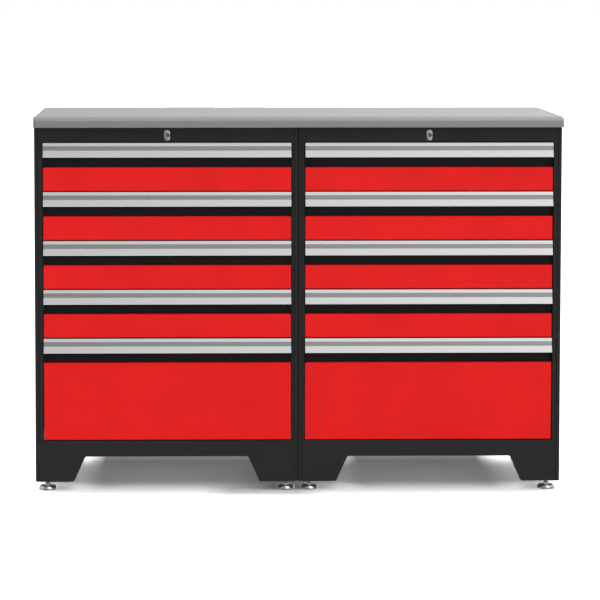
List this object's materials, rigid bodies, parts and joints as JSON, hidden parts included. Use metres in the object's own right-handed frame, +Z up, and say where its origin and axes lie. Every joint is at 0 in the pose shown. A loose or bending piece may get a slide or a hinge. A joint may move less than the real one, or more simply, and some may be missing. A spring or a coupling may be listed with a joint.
{
  "type": "tool chest",
  "caption": "Wide workshop tool chest: twin banks of deep drawers with bar pulls and key locks, on levelling feet, under one steel worktop.",
  "frame": {"origin": "on the floor under the middle of the worktop", "axes": "+X to the right along the worktop's length, +Y to the back, +Z up; the drawers open towards -Y"},
  "size_m": [1.422, 0.61, 1.018],
  "materials": {
    "frame_black": "fine-textured black powder coat",
    "drawer_red": "smooth semi-gloss red paint",
    "handle_aluminium": "satin anodised extrusion",
    "worktop_steel": "stainless steel brushed along its length",
    "core_board": "raw particle board",
    "runner_zinc": "bright zinc plate",
    "lock_chrome": "polished chrome",
    "foot_chrome": "satin chrome plate"
  },
  "bodies": {
    "chest": {"worktop_skin": "worktop_steel", "worktop_core": "core_board", "left_inner_side_panel": "frame_black", "left_outer_side_panel": "frame_black", "left_front_frame": "frame_black", "left_carcass_wrap": "frame_black", "left_inner_runner_ladder": "runner_zinc", "left_outer_runner_ladder": "runner_zinc", "left_lock_housing": "lock_chrome", "right_inner_side_panel": "frame_black", "right_outer_side_panel": "frame_black", "right_front_frame": "frame_black", "right_carcass_wrap": "frame_black", "right_inner_runner_ladder": "runner_zinc", "right_outer_runner_ladder": "runner_zinc", "right_lock_housing": "lock_chrome"},
    "left_lock": {"left_lock_plug": "lock_chrome", "left_lock_cam": "runner_zinc"},
    "left_lock_bar": {"left_lock_bar": "runner_zinc"},
    "left_drawer_1": {"left_drawer_1_tray": "frame_black", "left_drawer_1_face": "drawer_red", "left_drawer_1_handle": "handle_aluminium"},
    "left_drawer_2": {"left_drawer_2_tray": "frame_black", "left_drawer_2_face": "drawer_red", "left_drawer_2_handle": "handle_aluminium"},
    "left_drawer_3": {"left_drawer_3_tray": "frame_black", "left_drawer_3_face": "drawer_red", "left_drawer_3_handle": "handle_aluminium"},
    "left_drawer_4": {"left_drawer_4_tray": "frame_black", "left_drawer_4_face": "drawer_red", "left_drawer_4_handle": "handle_aluminium"},
    "left_drawer_5": {"left_drawer_5_tray": "frame_black", "left_drawer_5_face": "drawer_red", "left_drawer_5_handle": "handle_aluminium"},
    "left_foot_front_inner": {"left_foot_front_inner": "foot_chrome"},
    "left_foot_front_outer": {"left_foot_front_outer": "foot_chrome"},
    "left_foot_rear_inner": {"left_foot_rear_inner": "foot_chrome"},
    "left_foot_rear_outer": {"left_foot_rear_outer": "foot_chrome"},
    "right_lock": {"right_lock_plug": "lock_chrome", "right_lock_cam": "runner_zinc"},
    "right_lock_bar": {"right_lock_bar": "runner_zinc"},
    "right_drawer_1": {"right_drawer_1_tray": "frame_black", "right_drawer_1_face": "drawer_red", "right_drawer_1_handle": "handle_aluminium"},
    "right_drawer_2": {"right_drawer_2_tray": "frame_black", "right_drawer_2_face": "drawer_red", "right_drawer_2_handle": "handle_aluminium"},
    "right_drawer_3": {"right_drawer_3_tray": "frame_black", "right_drawer_3_face": "drawer_red", "right_drawer_3_handle": "handle_aluminium"},
    "right_drawer_4": {"right_drawer_4_tray": "frame_black", "right_drawer_4_face": "drawer_red", "right_drawer_4_handle": "handle_aluminium"},
    "right_drawer_5": {"right_drawer_5_tray": "frame_black", "right_drawer_5_face": "drawer_red", "right_drawer_5_handle": "handle_aluminium"},
    "right_foot_front_inner": {"right_foot_front_inner": "foot_chrome"},
    "right_foot_front_outer": {"right_foot_front_outer": "foot_chrome"},
    "right_foot_rear_inner": {"right_foot_rear_inner": "foot_chrome"},
    "right_foot_rear_outer": {"right_foot_rear_outer": "foot_chrome"}
  },
  "joints": [
    {"name": "left_lock_turn", "type": "hinge", "parent": "chest", "child": "left_lock", "pos_m": [-0.353, -0.259, 0.966], "axis": [0, -1, 0], "range_deg": [0, 90]},
    {"name": "left_lock_bar_lift", "type": "slide", "parent": "chest", "child": "left_lock_bar", "axis": [0, 0, 1], "range_m": [0, 0.006]},
    {"name": "left_drawer_1_slide", "type": "slide", "parent": "chest", "child": "left_drawer_1", "axis": [0, -1, 0], "range_m": [0, 0.4]},
    {"name": "left_drawer_2_slide", "type": "slide", "parent": "chest", "child": "left_drawer_2", "axis": [0, -1, 0], "range_m": [0, 0.4]},
    {"name": "left_drawer_3_slide", "type": "slide", "parent": "chest", "child": "left_drawer_3", "axis": [0, -1, 0], "range_m": [0, 0.4]},
    {"name": "left_drawer_4_slide", "type": "slide", "parent": "chest", "child": "left_drawer_4", "axis": [0, -1, 0], "range_m": [0, 0.4]},
    {"name": "left_drawer_5_slide", "type": "slide", "parent": "chest", "child": "left_drawer_5", "axis": [0, -1, 0], "range_m": [0, 0.4]},
    {"name": "left_foot_front_inner_level", "type": "slide", "parent": "chest", "child": "left_foot_front_inner", "axis": [0, 0, -1], "range_m": [0, 0.03]},
    {"name": "left_foot_front_outer_level", "type": "slide", "parent": "chest", "child": "left_foot_front_outer", "axis": [0, 0, -1], "range_m": [0, 0.03]},
    {"name": "left_foot_rear_inner_level", "type": "slide", "parent": "chest", "child": "left_foot_rear_inner", "axis": [0, 0, -1], "range_m": [0, 0.03]},
    {"name": "left_foot_rear_outer_level", "type": "slide", "parent": "chest", "child": "left_foot_rear_outer", "axis": [0, 0, -1], "range_m": [0, 0.03]},
    {"name": "right_lock_turn", "type": "hinge", "parent": "chest", "child": "right_lock", "pos_m": [0.353, -0.259, 0.966], "axis": [0, -1, 0], "range_deg": [0, 90]},
    {"name": "right_lock_bar_lift", "type": "slide", "parent": "chest", "child": "right_lock_bar", "axis": [0, 0, 1], "range_m": [0, 0.006]},
    {"name": "right_drawer_1_slide", "type": "slide", "parent": "chest", "child": "right_drawer_1", "axis": [0, -1, 0], "range_m": [0, 0.4]},
    {"name": "right_drawer_2_slide", "type": "slide", "parent": "chest", "child": "right_drawer_2", "axis": [0, -1, 0], "range_m": [0, 0.4]},
    {"name": "right_drawer_3_slide", "type": "slide", "parent": "chest", "child": "right_drawer_3", "axis": [0, -1, 0], "range_m": [0, 0.4]},
    {"name": "right_drawer_4_slide", "type": "slide", "parent": "chest", "child": "right_drawer_4", "axis": [0, -1, 0], "range_m": [0, 0.4]},
    {"name": "right_drawer_5_slide", "type": "slide", "parent": "chest", "child": "right_drawer_5", "axis": [0, -1, 0], "range_m": [0, 0.4]},
    {"name": "right_foot_front_inner_level", "type": "slide", "parent": "chest", "child": "right_foot_front_inner", "axis": [0, 0, -1], "range_m": [0, 0.03]},
    {"name": "right_foot_front_outer_level", "type": "slide", "parent": "chest", "child": "right_foot_front_outer", "axis": [0, 0, -1], "range_m": [0, 0.03]},
    {"name": "right_foot_rear_inner_level", "type": "slide", "parent": "chest", "child": "right_foot_rear_inner", "axis": [0, 0, -1], "range_m": [0, 0.03]},
    {"name": "right_foot_rear_outer_level", "type": "slide", "parent": "chest", "child": "right_foot_rear_outer", "axis": [0, 0, -1], "range_m": [0, 0.03]}
  ],
  "couplings": [
    {"joint": "left_lock_turn", "follows": "left_lock_bar_lift", "rad_per_m": 261.7},
    {"joint": "right_lock_turn", "follows": "right_lock_bar_lift", "rad_per_m": 261.7}
  ]
}
